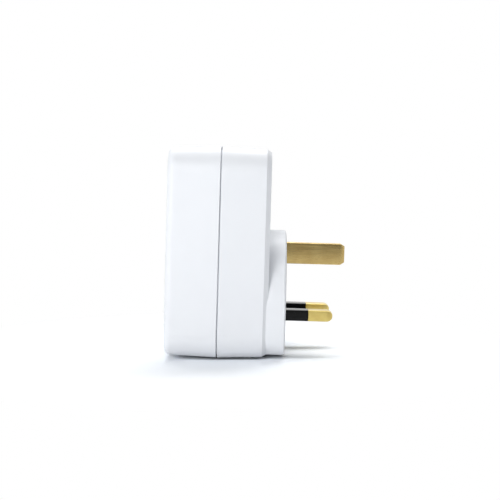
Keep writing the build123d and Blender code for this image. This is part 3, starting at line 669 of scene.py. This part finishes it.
def leafTree(sizes):
    tree, given = newTree("contactLeaf", sizes)
    line = {"Start": (0.0, 0.0, 0.0), "End": given["End"]}
    line = addNode(tree, "GeometryNodeCurvePrimitiveLine", line).outputs[0]
    line = addNode(tree, "GeometryNodeResampleCurve", {"Curve": line, "Count": 28}).outputs[0]
    spot = addNode(tree, "GeometryNodeInputPosition").outputs[0]
    away = {"Vector": spot, "Vector_001": given["Crown Place"]}
    away = addNode(tree, "ShaderNodeVectorMath", away, operation="DISTANCE").outputs["Value"]
    bow = {"Value": away, "From Min": 0.0, "From Max": given["Crown Reach"],
           "To Min": given["Crown Drop"], "To Max": 0.0}
    bow = addNode(tree, "ShaderNodeMapRange", bow, interpolation_type="SMOOTHSTEP").outputs[0]
    bow = addNode(tree, "ShaderNodeCombineXYZ", {"Z": bow}).outputs[0]
    line = addNode(tree, "GeometryNodeSetPosition", {"Geometry": line, "Offset": bow}).outputs[0]
    strip = {"Width": given["Width"], "Height": given["Thickness"]}
    strip = addNode(tree, "GeometryNodeCurvePrimitiveQuadrilateral", strip).outputs[0]
    bent = {"Curve": line, "Profile Curve": strip, "Fill Caps": True}
    endTree(tree, given, addNode(tree, "GeometryNodeCurveToMesh", bent).outputs[0])
    return tree


sizes = inMetres({
    "End": (0.0, leaf["length"], 0.0), "Width": leaf["width"], "Thickness": leaf["thickness"],
    "Crown Place": (0.0, leaf["crownY"], 0.0), "Crown Reach": leaf["crownReach"],
    "Crown Drop": -leaf["crown"],
})
sizes["Turn"] = (0.0, 0.0, 0.0)
tree = leafTree(sizes)
for side, middle in portX.items():
    places = [(middle + x, leaf["startY"], leaf["startZ"]) for x in leaf["offsets"]]
    grow(side + "PortLeaves", tree, places, sizes, "gilt_contact", ["usb_contacts_" + side], "leaf")
print("port contacts built")

# Port shells: folded sheet with a rolled mouth, and the sprung tongues that grip a plug
shell = {"halfX": 6.25, "halfZ": 2.56, "corner": 0.6, "sheet": 0.3, "mouthY": -43.7, "rearY": -29.7,
         "middleZ": 46.0, "fingerX": (-3.4, 3.4), "fingerHalf": 1.1, "fingerY": (-34.5, -39.0, -40.6),
         "fingerDrop": (0.0, 0.75, 0.35), "fingerSheet": 0.25, "lipSteps": 6}


def shellMesh(name):
    sheet, mouth, rear = shell["sheet"], shell["mouthY"], shell["rearY"]
    lip = sheet / 2

    def ring(out):
        return roundedRing(shell["halfX"] + out, shell["halfZ"] + out, shell["corner"] + out)

    rings = [(rear, ring(sheet)), (mouth + lip, ring(sheet))]
    for step in range(1, shell["lipSteps"]):  # rolled lip round the mouth
        angle = pi * step / shell["lipSteps"]
        rings.append((mouth + lip - lip * sin(angle), ring(lip + lip * cos(angle))))
    rings += [(mouth + lip, ring(0.0)), (rear, ring(0.0))]
    return loft(name, rings, closed=True)


def addFinger(work, x, up):
    # a sprung tongue: three stations along Y, bent in from the wall
    wall, half = shell["halfZ"] * up, shell["fingerHalf"]
    rows = []
    for y, drop in zip(shell["fingerY"], shell["fingerDrop"]):
        near = wall - up * drop
        far = near - up * shell["fingerSheet"]
        corners = ((-half, near), (half, near), (half, far), (-half, far))
        rows.append([work.verts.new(((x + a) * mm, y * mm, z * mm)) for a, z in corners])
    for lower, upper in zip(rows, rows[1:]):
        bridge(work, lower, upper)
    work.faces.new(rows[0])
    work.faces.new(rows[-1])


for side, middle in portX.items():
    mesh = shellMesh(side + "PortShell")
    work = bmesh.new()
    work.from_mesh(mesh)
    for x in shell["fingerX"]:
        addFinger(work, x, 1)
        addFinger(work, x, -1)
    bmesh.ops.recalc_face_normals(work, faces=work.faces)
    work.to_mesh(mesh)
    work.free()
    mesh.transform(Matrix.Translation((middle * mm, 0, shell["middleZ"] * mm)))
    smoothUnder(mesh, creaseAngles["shell"])
    addPiece(side + "PortShell", mesh, "plated_steel", ["usb_shell_" + side])
print("port shells built")

sizes = {"cad": [list(corner) for corner in cadBox], "visual": [list(corner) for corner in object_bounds()]}
